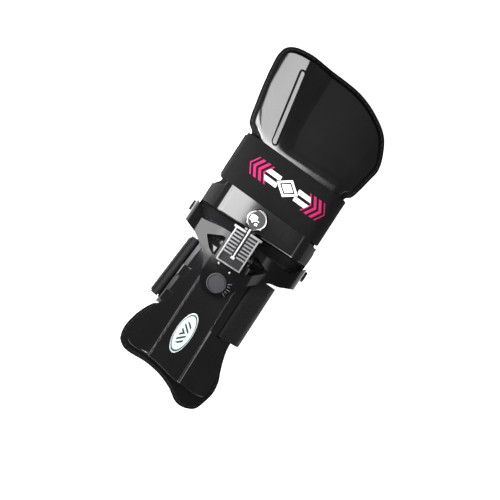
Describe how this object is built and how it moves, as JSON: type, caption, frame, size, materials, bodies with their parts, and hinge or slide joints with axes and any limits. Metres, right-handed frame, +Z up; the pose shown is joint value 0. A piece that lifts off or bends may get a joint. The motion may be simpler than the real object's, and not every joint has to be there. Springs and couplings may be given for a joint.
{
  "type": "bowling wrist brace glove",
  "caption": "Rigid bowling wrist brace for a right hand: padded hand and forearm plates joined by a yoke with a wrist hinge, a ratchet link and strap loops.",
  "frame": {"origin": "middle of the underside of the whole brace, on the surface that its two strap loops rest on", "axes": "+X to the little finger's side, +Y to the fingertips, +Z up from the back of the hand"},
  "size_m": [0.1068, 0.2646, 0.0709],
  "materials": {
    "plate_black": "gloss black enamel",
    "yoke_black": "semi-gloss black enamel",
    "pad_cloth": "black knitted padding",
    "strap_cloth": "black woven band with a printed stripe pattern",
    "strap_web": "black ribbed hook-and-loop webbing",
    "steel_satin": "satin",
    "chrome": "mirror",
    "screw_dark": "blackened, knurled",
    "cap_grey": "matte dark grey with a bright rim",
    "badge_white": "domed gloss"
  },
  "bodies": {
    "forearm": {"forearm_plate": "plate_black", "forearm_pad": "pad_cloth", "forearm_strap": "strap_web", "strap_bar": "steel_satin", "badge": "badge_white", "pivot_cap": "cap_grey"},
    "yoke": {"yoke": "yoke_black", "ear_screw_left": "screw_dark", "ear_screw_right": "screw_dark"},
    "hand": {"hand_plate": "plate_black", "hand_pad": "pad_cloth", "hand_strap": "strap_cloth"},
    "ladder": {"ratchet_frame": "steel_satin"},
    "rod": {"lift_rod": "steel_satin", "ball_knob": "chrome"}
  },
  "joints": [
    {"name": "lateral_swing", "type": "hinge", "parent": "forearm", "child": "yoke", "pos_m": [-0.00087, -0.0434, 0.056], "axis": [0, 0, 1], "range_deg": [-8, 8]},
    {"name": "hand_fold", "type": "hinge", "parent": "yoke", "child": "hand", "pos_m": [0.00173, -0.0056, 0.025], "axis": [-1, 0, 0], "range_deg": [0, 25]},
    {"name": "ladder_tilt", "type": "hinge", "parent": "yoke", "child": "ladder", "pos_m": [-0.00087, -0.0174, 0.06145], "axis": [-1, 0, 0], "range_deg": [0, 12]},
    {"name": "rod_slide", "type": "slide", "parent": "ladder", "child": "rod", "axis": [0, 1, 0], "range_m": [0, 0.017]}
  ],
  "couplings": [
    {"joint": "ladder_tilt", "follows": "hand_fold", "ratio": 0.42},
    {"joint": "rod_slide", "follows": "hand_fold", "m_per_rad": 0.0362}
  ]
}
